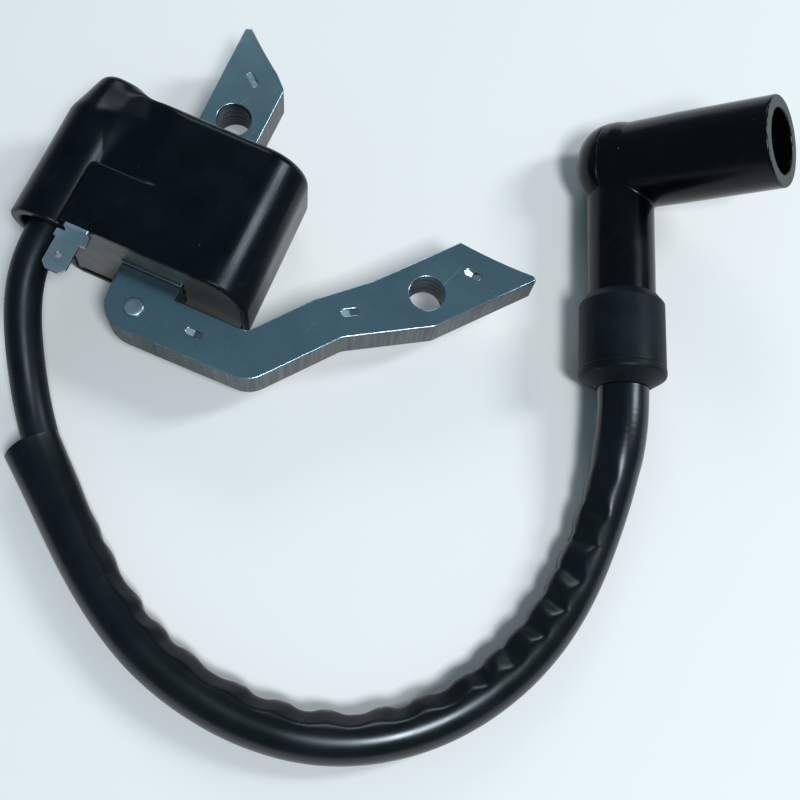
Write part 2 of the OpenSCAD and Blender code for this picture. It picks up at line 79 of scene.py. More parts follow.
SLEEVE_START = (-8.4, -70, -2.9)
SLEEVE_END = (66.3, 15, 0.9)


def unit(v):
    v = np.asarray(v, float)
    return v / np.linalg.norm(v)


# ---- Camera ----

def make_camera():
    cam = bpy.data.cameras.new("camera")
    cam.sensor_width = 36
    cam.lens = 54.45
    cam.clip_start = 0.01
    cam.clip_end = 20
    ob = bpy.data.objects.new("camera", cam)
    bpy.context.scene.collection.objects.link(ob)
    right = unit((0.7290017, 0.6797599, 0.0805168))
    forward = unit((-0.1385425, 0.2617149, -0.9551499))
    turn = Matrix(np.array([right, np.cross(right, forward), -forward]).T.tolist())
    at = Vector((68.642, -78.819, 225.225)) * MM
    ob.matrix_world = Matrix.Translation(at) @ turn.to_4x4()
    bpy.context.scene.camera = ob


make_camera()
bpy.context.scene.view_settings.view_transform = "Standard"

# ---- Materials ----


class Graph:
    """A node material and short ways to add nodes to it."""

    def __init__(self, name, base, rough, metal=0.0):
        self.name = name
        self.mat = bpy.data.materials.new(name)
        self.mat.use_nodes = True
        self.tree = self.mat.node_tree
        self.shader = self.tree.nodes["Principled BSDF"]
        self.set("Base Color", (*base, 1))
        self.set("Roughness", rough)
        self.set("Metallic", metal)
        self.spot = self.node("ShaderNodeTexCoord").outputs["Object"]

    def set(self, socket, value):
        self.shader.inputs[socket].default_value = value

    def node(self, kind, **inputs):
        n = self.tree.nodes.new(kind)
        for key, value in inputs.items():
            self.feed(n.inputs[key], value)
        return n

    def feed(self, socket, value):
        if isinstance(value, bpy.types.NodeSocket):
            self.tree.links.new(value, socket)
        else:
            socket.default_value = value

    def place(self, scale=(1, 1, 1), turn=(0, 0, 0)):
        n = self.node("ShaderNodeMapping", Vector=self.spot)
        n.inputs["Scale"].default_value = scale
        n.inputs["Rotation"].default_value = turn
        return n.outputs["Vector"]

    def noise(self, scale, detail=3.0, rough=0.5, at=None):
        n = self.node("ShaderNodeTexNoise", Vector=at or self.spot, Scale=scale)
        n.inputs["Detail"].default_value = detail
        n.inputs["Roughness"].default_value = rough
        return n.outputs["Fac"]

    def cells(self, scale):
        return self.node("ShaderNodeTexVoronoi", Vector=self.spot, Scale=scale).outputs["Distance"]

    def dots(self, scale, radius, share):
        """Small round specks of several sizes in some of the cells of a random pattern."""
        n = self.node("ShaderNodeTexVoronoi", Vector=self.spot, Scale=scale)
        pick = self.node("ShaderNodeSeparateColor", Color=n.outputs["Color"])
        size = self.math("MULTIPLY", pick.outputs["Green"], radius)
        near = self.span(self.math("SUBTRACT", n.outputs["Distance"], size), 0.0, 0.04, 1.0, 0.0)
        return self.math("MULTIPLY", near, self.span(pick.outputs["Red"], share, share + 0.01, 1.0, 0.0))

    def span(self, value, low, high, to_low=0.0, to_high=1.0):
        n = self.node("ShaderNodeMapRange", Value=value)
        n.inputs["From Min"].default_value = low
        n.inputs["From Max"].default_value = high
        n.inputs["To Min"].default_value = to_low
        n.inputs["To Max"].default_value = to_high
        return n.outputs["Result"]

    def math(self, kind, a, b=0.0):
        n = self.node("ShaderNodeMath")
        n.operation = kind
        self.feed(n.inputs[0], a)
        self.feed(n.inputs[1], b)
        return n.outputs[0]

    def mix(self, factor, a, b):
        n = self.node("ShaderNodeMix")
        n.data_type = "RGBA"
        for socket, value in ((n.inputs[0], factor), (n.inputs[6], a), (n.inputs[7], b)):
            self.feed(socket, value if isinstance(value, (bpy.types.NodeSocket, float)) else (*value, 1))
        return n.outputs[2]

    def scratches(self, across=1500.0, along=70.0, turn=0.4, level=0.66):
        """Thin short lines in one direction, from 0 to 1."""
        fine = self.noise(1.0, 2.0, 0.4, self.place((across, along, along), (0.2, 0.1, turn)))
        patch = self.noise(130.0, 2.0, 0.5)
        return self.math("MULTIPLY", self.span(fine, level, level + 0.04), self.span(patch, 0.5, 0.62))

    def color(self, value):
        self.feed(self.shader.inputs["Base Color"], value)

    def rough(self, value):
        self.feed(self.shader.inputs["Roughness"], value)

    def bump(self, height, strength=0.3, distance=0.0001):
        n = self.node("ShaderNodeBump", Height=height)
        n.inputs["Strength"].default_value = strength
        n.inputs["Distance"].default_value = distance
        self.feed(self.shader.inputs["Normal"], n.outputs["Normal"])


def shade(base, factor):
    return tuple(min(1.0, c * factor) for c in base)


def plastic(name, base, rough, dust=0.05, scratch=0.5, grain=0.25, mottle=0.25, gloss=0.2):
    """Moulded plastic or rubber: soft mottling, fine grain, a few scratches and specks of dust."""
    dust_color = (0.3, 0.31, 0.31)
    g = Graph(name, base, rough)
    g.set("Specular IOR Level", gloss)
    soft = g.noise(120.0, 3.0)
    fine = g.noise(2600.0, 2.0)
    lines = g.math("MAXIMUM", g.scratches(turn=0.5), g.scratches(1200.0, 90.0, 2.1, 0.67))
    specks = g.math("MULTIPLY", g.dots(700.0, 0.13, 0.12), g.span(g.noise(60.0, 1.0), 0.4, 0.6))
    tone = g.mix(g.span(soft, 0.3, 0.7), shade(base, 1 - mottle), shade(base, 1 + mottle))
    tone = g.mix(g.math("MULTIPLY", specks, dust), tone, dust_color)
    tone = g.mix(g.math("MULTIPLY", lines, 0.05 * scratch), tone, dust_color)
    g.color(tone)
    worn = g.math("MULTIPLY", lines, 0.12 * scratch)
    g.rough(g.math("ADD", g.span(soft, 0.25, 0.75, rough - 0.05, rough + 0.07), worn))
    worn_depth = g.math("MULTIPLY", lines, 0.15 * scratch)
    g.bump(g.math("SUBTRACT", g.math("MULTIPLY", fine, grain), worn_depth), 0.35, 0.00006)
    return g


def metal(name, base, rough, streak=(1.0, 30.0, 30.0), turn=0.35, grain=0.5, stain=0.2):
    """Bare metal with drawn streaks, stains and a fine grain."""
    g = Graph(name, base, rough, 1.0)
    drawn = g.noise(60.0, 4.0, 0.6, g.place(streak, (0, 0, turn)))
    soft = g.noise(90.0, 4.0, 0.6)
    fine = g.noise(3500.0, 2.0)
    tone = g.mix(g.span(soft, 0.3, 0.7), shade(base, 1 - stain), shade(base, 1 + stain * 0.6))
    tone = g.mix(g.span(drawn, 0.35, 0.75, 0.0, 0.5), tone, shade(base, 0.8))
    g.color(tone)
    g.rough(g.span(soft, 0.25, 0.75, rough - 0.06, rough + 0.08))
    g.bump(g.math("ADD", g.math("MULTIPLY", drawn, 0.6), g.math("MULTIPLY", fine, grain)), 0.25, 0.00004)
    return g


def core_steel():
    """Rolled sheet on the faces, and on the walls upright streaks and a line for each lamination."""
    base = (0.37, 0.48, 0.525)
    hole_x, hole_r = -HOLE_X * MM, 0.0037
    top_z, sheet_pitch = STACK_H * MM, 0.00065
    g = Graph("core_steel", base, 0.2, 1.0)
    normal = g.node("ShaderNodeNewGeometry").outputs["Normal"]
    up = g.node("ShaderNodeSeparateXYZ", Vector=normal).outputs["Z"]
    wall = g.span(g.math("ABSOLUTE", up), 0.2, 0.45, 1.0, 0.0)
    soft = g.noise(70.0, 4.0, 0.6)
    fine = g.noise(3000.0, 3.0)
    rolled = g.noise(500.0, 3.0, 0.5, g.place((1.0, 12.0, 1.0), (0, 0, 0.62)))
    marks = g.span(g.cells(260.0), 0.05, 0.09, 1.0, 0.0)
    marks = g.math("MULTIPLY", marks, g.span(g.noise(60.0, 1.0), 0.54, 0.6))
    top = g.mix(g.span(soft, 0.3, 0.72), shade(base, 0.93), shade(base, 1.05))
    top = g.mix(g.span(rolled, 0.45, 0.7, 0.0, 0.22), top, shade(base, 0.8))
    top = g.mix(g.span(fine, 0.35, 0.65, 0.0, 0.3), top, shade(base, 0.72))
    top = g.mix(g.math("MULTIPLY", marks, 0.6), top, shade(base, 0.35))
    top = g.mix(g.math("MULTIPLY", g.scratches(1800.0, 60.0, 1.2, 0.66), 0.4), top, (0.75, 0.78, 0.8))

    # The walls of the holes and of the arm's far end are darker and layered, with dark lines between the
    # sheets, and the other walls are lighter, with upright streaks and faint lines between the sheets
    spot = g.node("ShaderNodeSeparateXYZ", Vector=g.spot)
    x, y, z = (spot.outputs[k] for k in "XYZ")
    aside = g.math("SUBTRACT", g.math("ABSOLUTE", x), hole_x)
    off = g.math("SQRT", g.math("ADD", g.math("MULTIPLY", aside, aside), g.math("MULTIPLY", y, y)))
    darker_walls = g.math("MAXIMUM", g.span(off, hole_r, hole_r + 0.0005, 1.0, 0.0), g.span(x, 0.036, 0.043))
    phase = g.math("FRACT", g.math("MULTIPLY", z, 1 / sheet_pitch))
    seam = g.span(g.math("ABSOLUTE", g.math("SUBTRACT", phase, 0.5)), 0.36, 0.5)
    streaks = g.noise(1700.0, 3.0, 0.6, g.place((1.0, 1.0, 0.03)))
    layers = g.noise(1500.0, 2.0, 0.6, g.place((0.05, 0.05, 1.0)))
    streaked_wall_tone = g.mix(g.span(streaks, 0.3, 0.7), (0.075, 0.07, 0.066), (0.21, 0.205, 0.195))
    streaked_wall_tone = g.mix(g.math("MULTIPLY", seam, 0.3), streaked_wall_tone, (0.06, 0.06, 0.06))
    layered_wall_tone = g.mix(g.span(layers, 0.35, 0.65), (0.03, 0.032, 0.036), (0.16, 0.165, 0.17))
    layered_wall_tone = g.mix(g.math("MULTIPLY", seam, 0.9), layered_wall_tone, (0.008, 0.008, 0.009))
    side = g.mix(darker_walls, streaked_wall_tone, layered_wall_tone)
    # The pressed vees lie below the top face, and pressing left them rougher
    below = g.span(z, top_z - 0.000055, top_z - 0.000015, 1.0, 0.0)
    pressed = g.math("MULTIPLY", below, g.math("GREATER_THAN", up, 0.8))
    g.color(g.mix(wall, g.mix(pressed, top, (0.34, 0.38, 0.4)), side))
    rough = g.math("ADD", g.span(soft, 0.25, 0.75, 0.19, 0.25), g.math("MULTIPLY", wall, 0.22))
    g.rough(g.math("ADD", rough, g.math("MULTIPLY", pressed, 0.08)))
    bumps = g.math("ADD", g.math("MULTIPLY", rolled, 0.25), g.math("MULTIPLY", fine, 0.3))
    bumps = g.math("ADD", bumps, g.math("MULTIPLY", g.math("MULTIPLY", streaks, wall), 1.4))
    g.bump(bumps, 0.25, 0.00004)
    return g


def windings(name, base, rough, pitch):
    """Enamelled wire seen as fine turns round the core leg."""
    g = Graph(name, base, rough, 0.6)
    bands_per_unit = 20.0
    scale = 1 / (pitch * MM * bands_per_unit)
    w = g.node("ShaderNodeTexWave", Vector=g.place((1, 1, 1), (0, 0, -LEAN)), Scale=scale)
    w.bands_direction = "Y"
    w.inputs["Distortion"].default_value = 0.4
    turns = w.outputs["Fac"]
    soft = g.noise(200.0)
    # Painted light and shade: each turn's crown is painted lighter as a painted highlight, and the groove
    # between turns darker as painted shade
    turn_light_and_shade = g.math("MULTIPLY", turns, g.span(soft, 0.2, 0.8, 0.6, 1.0))
    g.color(g.mix(turn_light_and_shade, shade(base, 0.35), shade(base, 1.15)))
    g.rough(g.span(soft, 0.3, 0.7, rough - 0.05, rough + 0.08))
    g.bump(turns, 0.6, 0.0001)
    return g


def resin_material():
    base = (0.085, 0.075, 0.062)
    g = Graph("resin", base, 0.36)
    soft = g.noise(160.0, 4.0, 0.6)
    fine = g.noise(1400.0, 3.0)
    dots = g.span(g.cells(900.0), 0.04, 0.12, 1.0, 0.0)
    tone = g.mix(g.span(soft, 0.3, 0.7), shade(base, 0.75), (0.12, 0.112, 0.1))
    tone = g.mix(g.math("MULTIPLY", dots, 0.35), tone, shade(base, 0.4))
    g.color(tone)
    g.rough(g.span(soft, 0.3, 0.7, 0.28, 0.46))
    g.bump(g.math("SUBTRACT", g.math("MULTIPLY", fine, 0.3), dots), 0.3, 0.0001)
    return g


MATERIALS = {g.name: g for g in (
    core_steel(),
    metal("rivet_steel", (0.55, 0.6, 0.64), 0.36, stain=0.3),
    plastic("case_plastic", (0.0008, 0.0022, 0.0036), 0.27, dust=0.3, scratch=0.3),
    resin_material(),
    plastic("bobbin_plastic", (0.55, 0.52, 0.42), 0.45, scratch=0.2),
    windings("copper", (0.62, 0.26, 0.12), 0.32, 0.4),
    plastic("tape", (0.55, 0.38, 0.1), 0.3, scratch=0.2),
    plastic("board", (0.03, 0.13, 0.06), 0.4, dust=0.2, scratch=0.2),
    plastic("component", (0.03, 0.03, 0.032), 0.5, scratch=0.2),
    metal("tinned_steel", (0.56, 0.63, 0.68), 0.33, turn=1.9),
    plastic("wire_jacket", (0.35, 0.03, 0.02), 0.4, scratch=0.2),
    metal("brass", (0.72, 0.52, 0.24), 0.3),
    plastic("lead_rubber", (0.0036, 0.0062, 0.0085), 0.4, dust=0.3, scratch=0.3, grain=0.5),
    plastic("sleeve_rubber", (0.0006, 0.002, 0.003), 0.27, dust=0.1, scratch=0.1, grain=0.2, gloss=0.5),
    plastic("boot_rubber", (0.0032, 0.0058, 0.008), 0.5, dust=0.3, scratch=0.35, grain=0.6, mottle=0.5,
            gloss=0.18),
    plastic("cap_phenolic", (0.0014, 0.0018, 0.002), 0.2, dust=0.2, scratch=0.2, grain=0.1, gloss=0.22),
    metal("spring_steel", (0.6, 0.61, 0.63), 0.25),
    plastic("ceramic", (0.72, 0.7, 0.64), 0.3, dust=0.1, scratch=0.1),
)}
CAP_RIM = plastic("cap_rim", (0.075, 0.077, 0.066), 0.6, dust=0.4, scratch=0.5, grain=0.8)
SLOT_OF = {row["node"]: row["material_slot"] for row in frame["record"]["subparts"]}

for name, ob in NODES.items():
    ob.data.materials.clear()
    ob.data.materials.append(MATERIALS[SLOT_OF[name]].mat)


# ---- Mesh helpers ----

def piece(name, verts, faces, slot, body, node=None, normals=None, sharp=None):
    """A mesh object in metres from points in mm, riding on a body and standing for a CAD node."""
    me = bpy.data.meshes.new(name)
    me.from_pydata((np.asarray(verts, float) * MM).tolist(), [], [list(map(int, f)) for f in faces])
    me.validate()
    me.polygons.foreach_set("use_smooth", [True] * len(me.polygons))
    me.update()
    if sharp is not None:
        me.set_sharp_from_angle(angle=math.radians(sharp))
    if normals is not None:
        me.normals_split_custom_set_from_vertices([tuple(n) for n in normals])
    me.materials.append(MATERIALS[slot].mat)
    ob = bpy.data.objects.new(name, me)
    bpy.context.scene.collection.objects.link(ob)
    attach(ob, body)
    if node:
        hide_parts(node)
    return ob


def rounded(pts, steps=6):
    """Outline through corners given as (x, y, radius)."""
    out = []
    n = len(pts)
    for i in range(n):
        (x, y, r), before, after = pts[i], pts[i - 1], pts[(i + 1) % n]
        p = np.array([x, y], float)
        if r == 0:
            out.append(p)
            continue
        u, v = unit(np.array(before[:2]) - p), unit(np.array(after[:2]) - p)
        half = math.acos(float(np.clip(u @ v, -1, 1))) / 2
        c = p + unit(u + v) * r / math.sin(half)
        a, b = p + u * r / math.tan(half) - c, p + v * r / math.tan(half) - c
        turn = (math.pi - 2 * half) * (1 if a[0] * b[1] - a[1] * b[0] > 0 else -1)
        for k in range(steps + 1):
            w = turn * k / steps
            out.append(c + (a[0] * math.cos(w) - a[1] * math.sin(w), a[0] * math.sin(w) + a[1] * math.cos(w)))
    return np.array(out)


def outline_distance(pts):
    """Signed distance to a closed outline, negative inside."""
    pts = np.asarray(pts, float)
    ends = np.roll(pts, -1, 0)

    def distance(x, y):
        x, y = np.broadcast_arrays(np.asarray(x, float), np.asarray(y, float))
        best = np.full(x.shape, 1e9)
        inside = np.zeros(x.shape, bool)
        for (ax, ay), (bx, by) in zip(pts, ends):
            ex, ey = bx - ax, by - ay
            wx, wy = x - ax, y - ay
            t = np.clip((wx * ex + wy * ey) / max(ex * ex + ey * ey, 1e-12), 0, 1)
            best = np.minimum(best, (wx - ex * t) ** 2 + (wy - ey * t) ** 2)
            if ey:
                inside ^= ((ay > y) != (by > y)) & (x < ax + wy * ex / ey)
        return np.where(inside, -1, 1) * np.sqrt(best)

    return distance


def join(a, b, r):
    """Union of two distances with a fillet of radius r."""
    u, v = np.maximum(r - a, 0), np.maximum(r - b, 0)
    return np.maximum(r, np.minimum(a, b)) - np.sqrt(u * u + v * v)


def meet(a, b, r):
    """What two distances share, with its edge rounded to radius r."""
    return -join(-a, -b, r)


def cut(a, b, r):
    """The first distance without the second, with the edge rounded to radius r."""
    return -join(-a, b, r)


def ease(t):
    """A smooth step from 0 to 1."""
    t = np.clip(t, 0, 1)
    return t * t * (3 - 2 * t)


def net(shape, low, high, cell):
    """Closed quad mesh of the surface where shape(x, y, z) is zero, with its normals."""
    n = [int(math.ceil((high[i] - low[i]) / cell)) + 1 for i in range(3)]
    axes = [low[i] + cell * np.arange(n[i]) for i in range(3)]
    d = shape(axes[0][:, None, None], axes[1][None, :, None], axes[2][None, None, :])
    d = np.array(np.broadcast_to(d, n))
    inside = d < 0
    cells = [k - 1 for k in n]
    count = np.zeros(cells)
    total = np.zeros([*cells, 3])

    def corner(i, j, k):
        return d[i:cells[0] + i, j:cells[1] + j, k:cells[2] + k]

    for axis in range(3):
        for u in (0, 1):
            for v in (0, 1):
                start = [u, v]
                start.insert(axis, 0)
                stop = list(start)
                stop[axis] = 1
                a, b = corner(*start), corner(*stop)
                crossed = (a < 0) != (b < 0)
                t = np.where(crossed, a / np.where(crossed, a - b, 1), 0)
                count += crossed
                for q in range(3):
                    total[..., q] += crossed * (t if q == axis else start[q])
    active = count > 0
    index = np.full(cells, -1)
    index[active] = np.arange(active.sum())
    verts = np.array(low) + cell * (np.argwhere(active) + total[active] / count[active][:, None])
    faces = []
    for axis in range(3):
        p, q = (axis + 1) % 3, (axis + 2) % 3
        first, second = [slice(None)] * 3, [slice(None)] * 3
        first[axis], second[axis] = slice(0, n[axis] - 1), slice(1, n[axis])
        at = np.argwhere(inside[tuple(first)] != inside[tuple(second)])
        at = at[(at[:, p] > 0) & (at[:, q] > 0) & (at[:, p] < n[p] - 1) & (at[:, q] < n[q] - 1)]
        ring = []
        for back_p, back_q in ((1, 1), (0, 1), (0, 0), (1, 0)):
            w = at.copy()
            w[:, p] -= back_p
            w[:, q] -= back_q
            ring.append(index[w[:, 0], w[:, 1], w[:, 2]])
        quads = np.stack(ring, 1)
        flip = ~inside[at[:, 0], at[:, 1], at[:, 2]]
        quads[flip] = quads[flip][:, ::-1]
        faces.append(quads)

    def slope(points, h):
        g = np.empty_like(points)
        for q in range(3):
            e = np.zeros(3)
            e[q] = h
            g[:, q] = (shape(*(points + e).T) - shape(*(points - e).T)) / (2 * h)
        return g

    for _ in range(3):
        g = slope(verts, 0.01)
        step = shape(*verts.T)[:, None] * g / np.maximum((g * g).sum(1), 0.25)[:, None]
        verts -= np.clip(step, -0.5 * cell, 0.5 * cell)
    g = slope(verts, 0.06)
    g /= np.maximum(np.linalg.norm(g, axis=1), 1e-6)[:, None]
    return verts, np.concatenate(faces), g


# Columns: across the coil leg, along it, and up
LEG = np.array([[math.cos(LEAN), -math.sin(LEAN), 0], [math.sin(LEAN), math.cos(LEAN), 0], [0, 0, 1]])
LEG_HOLE = np.array([HOLE_X, 0, 0])


def place(points, normals, axes, origin):
    """Points and normals turned from local axes, and the points moved to an origin."""
    return points @ axes.T + origin, None if normals is None else normals @ axes.T


def revolve(profile, axes, origin, sides, ring=False):
    """A solid of revolution of (radius, height) points, which begin and end on the axis or make a ring."""
    profile = np.asarray(profile, float)
    angle = 2 * math.pi * np.arange(sides) / sides
    verts, rings = [], []
    for r, h in profile:
        if r < 1e-6:
            rings.append([len(verts)] * sides)
            verts.append((0, 0, h))
        else:
            rings.append(list(range(len(verts), len(verts) + sides)))
            verts += [(r * math.cos(a), r * math.sin(a), h) for a in angle]
    pairs = list(zip(rings, rings[1:]))
    if ring:
        pairs.append((rings[-1], rings[0]))
    faces = []
    for low, high in pairs:
        for k in range(sides):
            m = (k + 1) % sides
            f = []
            for v in (low[k], low[m], high[m], high[k]):
                if v not in f:
                    f.append(v)
            if len(f) > 2:
                faces.append(f)
    return np.array(verts) @ np.asarray(axes).T + origin, faces


# ---- The lead's centreline ----

def smooth_path(step):
    """Points every step mm along a soft curve through the route."""
    sample, blur = 0.25, 4.0
    p = np.array(ROUTE, float)
    fine = []
    for i in range(len(p) - 1):
        a, b, c, d = p[max(i - 1, 0)], p[i], p[i + 1], p[min(i + 2, len(p) - 1)]
        for t in np.linspace(0, 1, 60, endpoint=False):
            fine.append(0.5 * (2 * b + (c - a) * t + (2 * a - 5 * b + 4 * c - d) * t * t
                               + (3 * b - a - 3 * c + d) * t ** 3))
    fine.append(p[-1])
    fine = np.array(fine)
    length = np.r_[0, np.cumsum(np.linalg.norm(np.diff(fine, axis=0), axis=1))]
    count = int(round(length[-1] / sample))
    even = np.linspace(0, length[-1], count + 1)
    fine = np.column_stack([np.interp(even, length, fine[:, i]) for i in range(3)])
    reach = int(3 * blur / sample)
    kernel = np.exp(-0.5 * (np.arange(-reach, reach + 1) * sample / blur) ** 2)
    kernel /= kernel.sum()
    padded = np.concatenate([
        2 * fine[0] - fine[reach:0:-1], fine, 2 * fine[-1] - fine[-2:-reach - 2:-1]])
    soft = np.column_stack([np.convolve(padded[:, i], kernel, "valid") for i in range(3)])
    length = np.r_[0, np.cumsum(np.linalg.norm(np.diff(soft, axis=0), axis=1))]
    even = np.linspace(0, length[-1], int(round(length[-1] / step)) + 1)
    return np.column_stack([np.interp(even, length, soft[:, i]) for i in range(3)])


PATH = smooth_path(1.0)
ARC_CENTRE = np.array([38.0, -34.0])


def path_frames(path):
    """Tangent, the side that faces the middle of the loop, and the third axis, at each point."""
    tangent = np.gradient(path, axis=0)
    tangent /= np.linalg.norm(tangent, axis=1)[:, None]
    inward = np.cross(np.array([0, 0, 1.0]), tangent)
    inward /= np.linalg.norm(inward, axis=1)[:, None]
    toward = np.column_stack([ARC_CENTRE - path[:, :2], np.zeros(len(path))])
    if (inward * toward).sum() < 0:
        inward = -inward
    return tangent, inward, np.cross(tangent, inward)


def skin(rings):
    """Faces between closed rings of points, given as index arrays."""
    faces = []
    for a, b in zip(rings, rings[1:]):
        n = len(a)
        for k in range(n):
            m = (k + 1) % n
            faces.append((a[k], a[m], b[m], b[k]))
    return faces


def outward(ob):
    """Turns every face of a closed mesh to the outside."""
    bm = bmesh.new()
    bm.from_mesh(ob.data)
    bmesh.ops.recalc_face_normals(bm, faces=bm.faces)
    bm.to_mesh(ob.data)
    bm.free()
    return ob


def tube(name, path, radius, sides, slot, body, node, inner=None, ahead=None):
    """A tube on a path, solid or with a bore. radius and inner give the two offsets at each point and angle,
    and ahead gives how far a point moves along the path."""
    tangent, inward, third = path_frames(path)
    angle = 2 * math.pi * np.arange(sides) / sides
    verts, outer_rings, inner_rings = [], [], []
    for rings, law in ((outer_rings, radius), (inner_rings, inner)):
        if law is None:
            continue
        for i in range(len(path)):
            u, v = law(i, angle)
            rings.append(list(range(len(verts), len(verts) + sides)))
            ring = path[i] + np.outer(u, inward[i]) + np.outer(v, third[i])
            if ahead is not None:
                ring += np.outer(ahead(i, angle), tangent[i])
            verts += list(ring)
    if inner is None:
        faces = skin(outer_rings) + [outer_rings[0][::-1], outer_rings[-1]]
    else:
        faces = skin([*outer_rings, *inner_rings[::-1], outer_rings[0]])
    return outward(piece(name, verts, faces, slot, body, node, sharp=50))


def round_law(r):
    """The offsets of a plain round tube."""
    return lambda i, angle: (r * np.cos(angle), r * np.sin(angle))


lead = tube("lead_cable", PATH, round_law(LEAD_R), 40, "lead_rubber", "coil", "lead_insulation")

# ---- Sleeve ----

SLEEVE_STEP = 0.35
# Where the folds' ridges are along the sleeve, and the depth of the hollows between them, in mm
RIDGES = np.array([-12, 0, 10, 19, 27, 37, 44, 53, 64, 73, 83, 93, 102, 111.5, 118, 125.5, 132, 138.5,
                   145.5, 152.5, 160, 168, 180, 195.0])
STATIONS = np.arange(200)
HOLLOW = np.interp(STATIONS, [0, 12, 24, 40, 80, 100, 120, 135, 150, 160, 168, 200],
                   [0.0, 0.05, 0.3, 0.5, 0.6, 0.65, 0.7, 0.75, 0.75, 0.5, 0.1, 0])


def nearest(path, point):
    """The index of the path's point nearest to another."""
    return int(np.argmin(np.linalg.norm(path - np.array(point, float), axis=1)))


def make_sleeve():
    fine = smooth_path(SLEEVE_STEP)
    path = fine[nearest(fine, SLEEVE_START):nearest(fine, SLEEVE_END) + 1].copy()
    station = np.arange(len(path)) * SLEEVE_STEP
    _, inward, _ = path_frames(path)
    # The open end hangs off the lead to the outside, and the sleeve closes on it over the first stretch
    hang = 1.5 * np.exp(-(station / 9.0) ** 1.3) + 0.35 * np.exp(-(station / 30.0) ** 2)
    path -= inward * hang[:, None]
    wide = 1 + 0.11 * np.exp(-(station / 12.0) ** 1.5)
    phase = np.interp(station, RIDGES, np.arange(len(RIDGES)))
    depth = np.interp(station, STATIONS, HOLLOW)
    # The folds form over the first stretch, and they change over to broader ones on the right half
    settled = np.clip(station / 26, 0, 1)
    far = np.clip((station - 95) / 40, 0, 1)
    # Two flats on the inside of the bend: one that faces up and inwards, and one that faces the middle
    brow = np.radians(52 - 8 * settled + 14 * far)
    flank = math.radians(-4)
    neck_at, neck_swell = 166, 0.2
    neck = neck_swell / (1 + np.exp(-(station - neck_at) * 1.2))
    ribbed, rib_depth, rib_pitch = 16, 0.014, 0.8

    def soft_least(p, q, k):
        return 0.5 * (p + q - np.sqrt((p - q) ** 2 + k * k))

    def outer(i, angle):
        away = (angle - brow[i] + math.pi) % (2 * math.pi) - math.pi
        low = (angle - flank + math.pi) % (2 * math.pi) - math.pi
        skew = (0.14 * math.sin(2.3 * round(phase[i]) + 1) + 0.1) * np.sin(away)
        ridge = (0.5 + 0.5 * np.cos(2 * math.pi * (phase[i] + skew))) ** (1.4 - 0.6 * far[i])
        dip = depth[i] * (1 - ridge)
        round_r = SLEEVE_R + neck[i] + 0.1 + 0.04 * np.sin(2 * angle + 0.11 * station[i])
        above = round_r - (0.12 + 0.1 * settled[i]) - dip * (0.45 + 0.75 * far[i])
        beside = round_r - 0.02 - dip * (1.6 - 0.45 * far[i])
        plane_a = above / np.maximum(np.cos(away), 0.2)
        plane_b = beside / np.maximum(np.cos(low), 0.2)
        flats = soft_least(plane_a, plane_b, 0.3 + 0.2 * far[i])
        r = soft_least(flats, round_r, 0.1 + 0.25 * (1 - settled[i]) + 0.35 * far[i])
        left = station[-1] - station[i]
        if left < ribbed:
            ribs = math.sin(station[i] * 2 * math.pi / rib_pitch) + math.sin(station[i] * 5.1)
            r = r + rib_depth * ribs * (1 - left / ribbed)
        return r * np.cos(angle) * wide[i], r * np.sin(angle) * (2 - wide[i])

    def lining(i, angle):
        u, v = outer(i, angle)
        r = np.maximum(np.hypot(u, v), 0.1)
        k = (r - SLEEVE_WALL) / r
        return u * k, v * k

    def slant(i, angle):
        """The cut end starts later on the outside of the bend."""
        most, over = 1.5, 6
        return most * np.maximum(0, -np.cos(angle)) ** 2 * max(0.0, 1 - station[i] / over) ** 2

    return tube("lead_sleeve_shaped", path, outer, 80, "sleeve_rubber", "coil", "lead_sleeve", lining, slant)


sleeve = make_sleeve()

# ---- Boot and cap ----

LEG_BACK = np.array([-math.cos(HEADING), -math.sin(HEADING), 0.0])
SIDE = np.array([math.sin(HEADING), -math.cos(HEADING), 0.0])
SIDE_UP = math.cos(BARREL_TILT) * SIDE + math.sin(BARREL_TILT) * np.array([0, 0, 1.0])
BARREL = math.cos(ELBOW_ANGLE) * -LEG_BACK + math.sin(ELBOW_ANGLE) * SIDE_UP
ACROSS = unit(LEG_BACK - (LEG_BACK @ BARREL) * BARREL)
THIRD = np.cross(BARREL, ACROSS)
CAP_AXES = np.array([ACROSS, THIRD, BARREL]).T
CAP_LEG_LOCAL = np.array([LEG_BACK @ ACROSS, LEG_BACK @ THIRD, LEG_BACK @ BARREL])


